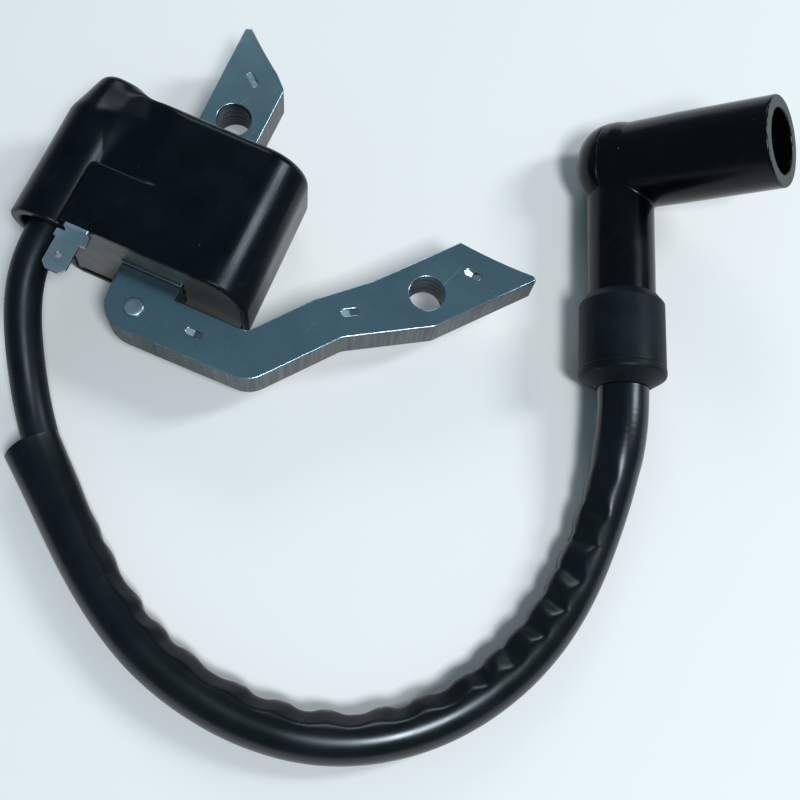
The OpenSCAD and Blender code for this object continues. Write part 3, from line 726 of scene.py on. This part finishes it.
def make_boot():
    lead_hole = LEAD_R + 0.05
    neck = 4.3
    profile = rounded([
        (CAP_LEG_R + 0.05, BOOT_TOP, 0.1),
        (lead_hole + 3.35, CAP_LEG_END + 0.1, 0),
        (lead_hole, CAP_LEG_END + 0.1, 0),
        (lead_hole, NECK_END, 0.1),
        (neck, NECK_END, 0.15),
        (neck, BOOT_BOTTOM, 0),
        (neck + 1.0, BOOT_BOTTOM, 0.3),
        (neck + 1.6, BOOT_BOTTOM - 0.5, 0.8),
        (BOOT_R - 0.2, BOOT_BOTTOM - 2.2, 0.5),
        (BOOT_R - 0.03, BOOT_BOTTOM - 2.7, 0.3),
        (BOOT_R - 0.05, BOOT_BOTTOM - 3.6, 0.3),
        (BOOT_R - 0.14, BOOT_BOTTOM - 3.8, 0.2),
        (BOOT_R - 0.12, BOOT_BOTTOM - 4.2, 0.3),
        (BOOT_R - 0.2, BOOT_TOP + 1.75, 0.5),
        (CAP_LEG_R + 0.45, BOOT_TOP, 0.2),
    ], 5)
    axes = np.array([SIDE, np.cross(LEG_BACK, SIDE), LEG_BACK]).T
    verts, faces = revolve(profile, axes, ELBOW, 112, ring=True)
    return outward(piece("lead_boot_shaped", verts, faces, "boot_rubber", "coil", "lead_boot", sharp=40))


def mirror(points):
    """A half outline on the right of the axis, closed by its mirror image."""
    points = np.asarray(points)
    return np.concatenate([points, (points * [-1, 1])[::-1]])


def make_cap():
    bead_r = BARREL_R + 0.28
    barrel = outline_distance(mirror(rounded([
        (0, COVER_X, 0),
        (bead_r, COVER_X, 0.35),
        (bead_r, 1.2, 1.2),
        (BARREL_R - 0.15, 3.6, 3),
        (BARREL_R, 14, 6),
        (MOUTH_R, BARREL_LEN, 0.45),
        (0, BARREL_LEN, 0),
    ])))
    dome_r = BARREL_R + 0.15
    core_r, core_end = 2.8, 12
    seat_r, seat_from, seat_to = 4.05, 11, 16
    throat_from, bore_from = 15, 24.4
    lead_bore_r, lead_bore_from = LEAD_R + 0.08, 19.5
    screw_bore_r, screw_bore_to = 1.6, 25
    spigot_r, spigot_from, spigot_to = 5.95, COVER_X - 0.5, COVER_X + 0.6

    def spots(x, y, z):
        along = x * CAP_LEG_LOCAL[0] + y * CAP_LEG_LOCAL[1] + z * CAP_LEG_LOCAL[2]
        off = np.sqrt(np.maximum(x * x + y * y + z * z - along * along, 1e-9))
        return np.sqrt(x * x + y * y + 1e-9), along, off

    def dome(x, y, z):
        h = (z - COVER_X) / COVER_DOME
        rho = np.sqrt(x * x + y * y) / dome_r
        return (np.sqrt(rho * rho + h * h + 1e-9) - 1) * (COVER_DOME + dome_r) / 2

    def shell(x, y, z):
        rho, along, off = spots(x, y, z)
        body = barrel(rho, z)
        leg = np.maximum(off - CAP_LEG_R, np.maximum(-along, along - CAP_LEG_END))
        d = join(body, leg, 0.45)
        behind = np.maximum(dome(x, y, z) - 0.04, z - COVER_X + 0.02)
        d = cut(d, behind, 0.12)
        bore = np.maximum(rho - PLUG_R, bore_from - z)
        throat = np.maximum(rho - (PLUG_R - 0.3), throat_from - z)
        seat = np.maximum(rho - seat_r, np.maximum(seat_from - z, z - seat_to))
        core = np.maximum(rho - core_r, z - core_end)
        d = cut(d, np.minimum(np.minimum(bore, throat), np.minimum(seat, core)), 0.3)
        lead_bore = np.maximum(off - lead_bore_r, lead_bore_from - along)
        screw_bore = np.maximum(off - screw_bore_r, np.maximum(-along, along - screw_bore_to))
        return cut(d, np.minimum(lead_bore, screw_bore), 0.2)

    def cover(x, y, z):
        rho, along, off = spots(x, y, z)
        d = meet(dome(x, y, z), z - COVER_X, 0.3)
        d = np.minimum(d, np.maximum(rho - spigot_r, np.maximum(spigot_from - z, z - spigot_to)))
        d = cut(d, np.maximum(rho - core_r, -2.5 - z), 0.1)
        return cut(d, np.maximum(off - screw_bore_r, np.maximum(-along - 1, along - 10)), 0.1)

    cell = 0.42
    reach = CAP_LEG_END + 1.5
    verts, faces, normals = net(shell, (-11, -11, -9), (reach, 11, BARREL_LEN + 1.5), cell)
    world, turned = place(verts, normals, CAP_AXES, ELBOW)
    ob = piece("cap_shell_shaped", world, faces, "cap_phenolic", "cap", "cap_shell", turned)
    # The mouth's ring is matt where the moulding was trimmed
    ob.data.materials.append(CAP_RIM.mat)
    middle = verts[faces].mean(1)
    rim = (middle[:, 2] > BARREL_LEN - 0.12) & (normals[faces].mean(1)[:, 2] > 0.8)
    ob.data.polygons.foreach_set("material_index", rim.astype(np.int32))
    verts, faces, normals = net(cover, (-11, -11, -10.5), (11, 11, 1.5), cell)
    world, turned = place(verts, normals, CAP_AXES, ELBOW)
    back = piece("cap_rear_cover_shaped", world, faces, "cap_phenolic", "cap", "cap_rear_cover", turned)
    return ob, back


boot = make_boot()
cap_shell, cap_cover = make_cap()


# ---- Case ----

CASE_WALL, TOWER_WALL = 1.6, 1.2


def section(wall):
    """The case's outline across the leg, moved in by a wall."""
    right, top_left, knee_z = CASE_HALF - wall, -17.7 + wall, 5
    return outline_distance(rounded([
        (right, CASE_Z0 + wall, 8.5 - wall),
        (right, CASE_Z1 - wall, 9 - wall),
        (top_left, CASE_Z1 - wall, 1.2),
        (-CASE_HALF + wall, knee_z, 1),
        (-CASE_HALF + wall, CASE_Z0 + wall, 3 - wall),
    ], 28))


def from_tower(a, z, height=TOWER_Z):
    """Distance from an axis above or below the lead tower's, or from the tower's own."""
    return np.sqrt((a - TOWER_A) ** 2 + (z - height) ** 2 + 1e-9)


def make_case():
    outer, inner = section(0.0), section(CASE_WALL)
    nose_r, nose_end = 4.1, 3.5
    tower_side = outline_distance(mirror(rounded([
        (0, -TOWER_NEAR, 0), (TOWER_R, -TOWER_NEAR, 0.5), (TOWER_R, 12.5, 6),
        (nose_r, nose_end, 2.4), (0, nose_end, 0)], 24)))
    step_depth, step_left, step_wide = 3, -17.4, 12.5
    step = CASE_Z1 - step_depth
    slope = step_depth / step_wide
    tilt = math.cos(math.atan(slope))
    draft = 0.018
    cavity_end, tower_bore_end, slot_from = -7.4, -13.2, -8.4
    slot_a, slot_z = 6.55, 4.47

    def top_cut(a, s, z, lower, start):
        """The sloping step in the top, in front of start."""
        floor = np.maximum(step + (a - step_left) * slope, step) - lower
        return meet((floor - z) * tilt, start - s, 0.35)

    def shape(a, s, z):
        d = meet(outer(a, z) + draft * (s - CASE_NEAR), s - CASE_FAR, 2.0)
        d = meet(d, CASE_NEAR - s, 0.3)
        d = cut(d, top_cut(a, s, z, 0.0, -22.9), 0.45)
        rho = from_tower(a, z)
        nose_z = TOWER_Z + 0.9 * ease((s + 13) / 10.6)
        fillet = 0.6 + 4.4 * ease((s + 22.0) / 12)
        d = join(d, tower_side(from_tower(a, z, nose_z), -s), fillet)
        hollow = np.maximum(inner(a, z), s - cavity_end)
        hollow = np.maximum(hollow, TOWER_BORE + TOWER_WALL - rho)
        hollow = np.maximum(hollow, -top_cut(a, s, z, CASE_WALL, -24.0))
        d = cut(d, hollow, 0.35)
        d = cut(d, np.maximum(rho - TOWER_BORE, s - tower_bore_end), 0.45)
        slot = np.maximum(np.abs(a) - slot_a, np.abs(z - MID_Z) - slot_z)
        return cut(d, np.maximum(slot, slot_from - s), 0.25)

    verts, faces, normals = net(shape, (-30.2, -38.4, CASE_Z0 - 1), (21.2, -1.2, CASE_Z1 + 1.2), 0.38)
    world, turned = place(verts, normals, LEG, LEG_HOLE)
    return piece("coil_case_shaped", world, faces, "case_plastic", "coil", "coil_case", turned)


def make_resin_face():
    """The cured surface of the potting, drawn up a little where it meets the case and the tower."""
    inner = section(CASE_WALL + 0.02)
    leg_a, leg_z = 6.35, 4.27
    surface, back = -35.95, -35.3

    def shape(a, s, z):
        edge = np.maximum(inner(a, z), TOWER_BORE + TOWER_WALL + 0.05 - from_tower(a, z))
        leg = np.maximum(np.abs(a) - leg_a, np.abs(z - MID_Z) - leg_z)
        near_wall = np.exp(np.minimum(edge, 0) / 0.8) + 0.7 * np.exp(-np.maximum(leg, 0) / 0.7)
        wave = 0.05 * np.sin(0.7 * a + 1) * np.sin(0.9 * z)
        top = surface - 0.28 * np.minimum(near_wall, 1) - wave
        d = np.maximum(edge, np.maximum(top - s, s - back))
        return np.maximum(d, -leg)

    verts, faces, normals = net(shape, (-20.5, -37, CASE_Z0 - 0.5), (20.5, -34.6, CASE_Z1 + 0.5), 0.4)
    world, turned = place(verts, normals, LEG, LEG_HOLE)
    return piece("resin_face", world, faces, "resin", "coil", normals=turned)


make_case()
make_resin_face()


# ---- Core ----

def face_loops(bm_faces):
    """Closed loops of points round a flat set of faces."""
    edges = {}
    for f in bm_faces:
        ring = [v.index for v in f.verts]
        edges.update(dict.fromkeys(zip(ring, ring[1:] + ring[:1])))
    border = {a: b for a, b in edges if (b, a) not in edges}
    loops = []
    while border:
        start, at = next(iter(border.items()))
        loop = [start]
        del border[start]
        while at != start:
            loop.append(at)
            at = border.pop(at)
        loops.append(loop)
    return loops


def thin(loop, least=0.02, flat=1e-4):
    """Drops points that repeat or lie on a straight line."""
    pts = [np.array(p) for p in loop]
    keep = []
    for i, p in enumerate(pts):
        if np.linalg.norm(p - pts[i - 1]) > least:
            keep.append(p)
    out = []
    for i, p in enumerate(keep):
        u, v = unit(p - keep[i - 1]), unit(keep[(i + 1) % len(keep)] - p)
        if abs(u[0] * v[1] - u[1] * v[0]) > flat:
            out.append(p)
    return np.array(out)


def inset(loop, by):
    """The loop moved to its left, which is inwards for an outer loop that runs anticlockwise."""
    before, after = loop - np.roll(loop, 1, 0), np.roll(loop, -1, 0) - loop
    before /= np.linalg.norm(before, axis=1)[:, None]
    after /= np.linalg.norm(after, axis=1)[:, None]
    n1 = np.column_stack([-before[:, 1], before[:, 0]])
    n2 = np.column_stack([-after[:, 1], after[:, 0]])
    m = n1 + n2
    return loop + by * m / np.maximum((m * n1).sum(1), 0.3)[:, None]


def add_plate(verts, faces, loops, levels):
    """Adds a flat plate to a mesh: outlines, the outer one anticlockwise, at (height, inset) levels."""
    rings = [[] for _ in levels]
    for loop in loops:
        for ring, (z, by) in zip(rings, levels):
            p = inset(loop, by)
            ring.append((len(verts), len(p)))
            verts += [(x, y, z) for x, y in p]
    for low, high in zip(rings, rings[1:]):
        for (a, n), (b, _) in zip(low, high):
            faces += [(a + k, a + (k + 1) % n, b + (k + 1) % n, b + k) for k in range(n)]
    for ring, up in ((rings[0], False), (rings[-1], True)):
        index = [i for start, n in ring for i in range(start, start + n)]
        polygon = [[Vector((*verts[i][:2], 0)) for i in range(start, start + n)] for start, n in ring]
        for tri in tessellate_polygon(polygon):
            t = [index[i] for i in tri]
            a, b, c = (verts[i] for i in t)
            area = (b[0] - a[0]) * (c[1] - a[1]) - (b[1] - a[1]) * (c[0] - a[0])
            if (area > 0) != up:
                t.reverse()
            faces.append(t)


def flat_caps(ob):
    """Shades the triangles of a plate's two faces flat, and leaves its rolled edge smooth."""
    polygons = ob.data.polygons
    polygons.foreach_set("use_smooth", [len(f.vertices) > 3 for f in polygons])
    return ob


def soft_pocket(loop):
    """An interlock's four-cornered pocket with round ends."""
    middle = np.mean(loop, axis=0)
    return rounded([(*(middle + (p - middle) * 0.86), 0.56) for p in loop])


def make_sheets(node, name):
    """Each lamination with its own slightly rolled-over edge."""
    bm = bmesh.new()
    bm.from_mesh(NODES[node].data)
    bmesh.ops.remove_doubles(bm, verts=bm.verts, dist=1e-7)
    bm.faces.ensure_lookup_table()
    bm.verts.ensure_lookup_table()
    bm.normal_update()
    seen, groups = set(), []
    for f in bm.faces:
        if f.index in seen:
            continue
        stack, group = [f], []
        seen.add(f.index)
        while stack:
            g = stack.pop()
            group.append(g)
            for e in g.edges:
                for h in e.link_faces:
                    if h.index not in seen:
                        seen.add(h.index)
                        stack.append(h)
        groups.append(group)
    verts, faces = [], []
    top_of_all = max(v.co.z for v in bm.verts) / MM
    roll = 0.05
    for group in groups:
        zs = [v.co.z / MM for f in group for v in f.verts]
        z0, z1 = min(zs), max(zs)
        last = abs(z1 - top_of_all) < 0.01
        level, sign = (z1, 1) if last else (z0, -1)
        flat = [f for f in group
                if f.normal.z * sign > 0.99 and abs(f.calc_center_median().z / MM - level) < 0.02]
        loops = [[np.array(bm.verts[i].co[:2]) / MM for i in loop] for loop in face_loops(flat)]
        if sign < 0:
            loops = [loop[::-1] for loop in loops]
        loops = [soft_pocket(loop) if len(loop) == 4 else loop for loop in loops]
        upper = ((z1 - roll, 0.0), (z1, roll))
        if last:
            upper = ((z1 - 0.2, 0.0), (z1 - 0.11, 0.02), (z1 - 0.04, 0.07), (z1 - 0.005, 0.14), (z1, 0.2))
        add_plate(verts, faces, [thin(loop) for loop in loops], ((z0, roll), (z0 + roll, 0.0), *upper))
    bm.free()
    return flat_caps(outward(piece(name, verts, faces, "core_steel", "coil", node, sharp=32)))


def make_tongue(name, x, y, angle):
    """The pressed vee of an interlock, which slopes into the stack from both ends."""
    c, s = math.cos(math.radians(angle)), math.sin(math.radians(angle))
    half_long, half_wide, lip, deep, base = 1.86, 0.74, -0.015, -0.6, -0.62
    profile = rounded([
        (-half_long, lip, 0), (0, deep, 0.4), (half_long, lip, 0),
        (half_long, base, 0), (-half_long, base, 0)], 5)
    verts, n = [], len(profile)
    for side in (-half_wide, half_wide):
        for px, pz in profile:
            verts.append((x + px * c - side * s, y + px * s + side * c, STACK_H + pz))
    faces = [tuple(range(n)), tuple(range(2 * n - 1, n - 1, -1))]
    faces += [(k, k + n, (k + 1) % n + n, (k + 1) % n) for k in range(n)]
    return outward(piece(name, verts, faces, "core_steel", "coil", sharp=30))


def make_rivet():
    shank, head = 1.75, 1.9
    profile = [(0, 0.05), (1.2, 0.05), (1.55, 0.0), (shank, 0.12), (shank, STACK_H - 0.01)]
    profile += [(r, STACK_H + h) for r, h in (
        (head - 0.03, 0), (head, 0.05), (head, 0.28), (head - 0.06, 0.36), (head - 0.18, 0.4),
        (1.2, 0.42), (0.6, 0.38), (0, 0.36))]
    origin = LEG_HOLE + LEG @ np.array([0, RIVET_S, 0])
    verts, faces = revolve(profile, np.eye(3), origin, 64)
    return outward(piece("core_rivet_shaped", verts, faces, "rivet_steel", "coil", "core_rivet", sharp=40))


def make_terminal():
    """The stop-switch blade with its upright flange."""
    low, thick, edge = 13.9, 0.8, 0.07
    flange_top, hole_r = 16.9, 0.7
    near = CASE_NEAR
    shoulder, end = near - 2.6, near - 9.1
    left, right, root_right, flange_a = BLADE_A + 0.6, BLADE_A + 5.4, BLADE_A + 6.5, BLADE_A + 1.6
    blade = rounded([
        (left, shoulder, 0.15), (left, end + 1.1, 0.25), (left + 1.1, end, 0.25), (right - 1.1, end, 0.25),
        (right, end + 1.1, 0.25), (right, shoulder, 0.15), (root_right, shoulder, 0.2), (root_right, near, 0),
        (flange_a, near, 0), (flange_a, near - 1, 0), (BLADE_A, near - 1, 0.1), (BLADE_A, shoulder, 0.2)])
    turn = 2 * math.pi * np.arange(32) / 32
    hole = np.array([left + 2.15, shoulder - 3.2]) + hole_r * np.column_stack([np.cos(turn), -np.sin(turn)])
    flange = rounded([
        (flange_a, low, 0.1), (root_right, low, 0.1),
        (root_right, flange_top, 0.35), (flange_a, flange_top, 0.35)])

    def levels(z):
        return (z, edge), (z + edge, 0), (z + thick - edge, 0), (z + thick, edge)

    verts, faces = [], []
    add_plate(verts, faces, [blade, hole], levels(low))
    lying = len(verts)
    add_plate(verts, faces, [flange], levels(0))
    verts = np.array(verts)
    verts[lying:] = np.column_stack([verts[lying:, 0], near - verts[lying:, 2], verts[lying:, 1]])
    world, _ = place(verts, None, LEG, LEG_HOLE)
    ob = piece("kill_terminal_shaped", world, faces, "tinned_steel", "coil", "kill_terminal", sharp=35)
    return flat_caps(outward(ob))


# Each pressed vee's place and the turn of its long side, in degrees
INTERLOCKS = [(-30, 9, -17), (30, 9.2, 17), (18.4, -13.3, 51), (0.5, -37, 20)]

make_terminal()
make_sheets("leg_laminations", "leg_sheets")
make_sheets("arm_laminations", "arm_sheets")
for k, (x, y, angle) in enumerate(INTERLOCKS, 1):
    make_tongue(f"interlock_tongue_{k}", x, y, angle)
make_rivet()


# ---- Stage ----

def stage_material():
    g = Graph("floor", (0.9, 0.88, 0.86), 0.6)
    soft = g.noise(9.0, 2.0)
    g.color(g.mix(g.span(soft, 0.3, 0.7), (0.97, 0.835, 0.775), (0.99, 0.855, 0.795)))
    g.set("Specular IOR Level", 0.1)
    return g.mat


def make_stage():
    """A pale floor just under the case's lowest point."""
    half, z = 2.5, CASE_Z0 * MM - 0.00002
    me = bpy.data.meshes.new("floor")
    corners = [(-half, -half, z), (half, -half, z), (half, half, z), (-half, half, z)]
    me.from_pydata(corners, [], [(0, 1, 2, 3)])
    me.materials.append(stage_material())
    floor = bpy.data.objects.new("floor", me)
    bpy.context.scene.collection.objects.link(floor)


def area_light(name, at, target, size, size_y, power, color):
    data = bpy.data.lights.new(name, "AREA")
    data.shape = "RECTANGLE"
    data.size = size
    data.size_y = size_y
    data.energy = power
    data.color = color
    ob = bpy.data.objects.new(name, data)
    bpy.context.scene.collection.objects.link(ob)
    ob.location = at
    ob.rotation_euler = (Vector(target) - Vector(at)).to_track_quat("-Z", "Y").to_euler()


def make_lights():
    world = bpy.data.worlds.new("world")
    bpy.context.scene.world = world
    world.use_nodes = True
    background = world.node_tree.nodes["Background"].inputs
    background["Color"].default_value = (0.5, 0.86, 1.08, 1)
    background["Strength"].default_value = 0.2
    middle = (0.02, -0.02, 0)
    daylight = (0.74, 0.91, 1.0)
    area_light("overhead", (0.45, -0.17, 1.0), middle, 0.2, 0.26, 8.0, daylight)
    area_light("right_window", (0.43, 0.62, 0.7), middle, 0.16, 0.3, 4.2, daylight)
    area_light("far_window", (-0.6, 0.62, 0.65), middle, 0.35, 0.35, 1.6, (0.8, 0.93, 1.0))


make_stage()
make_lights()
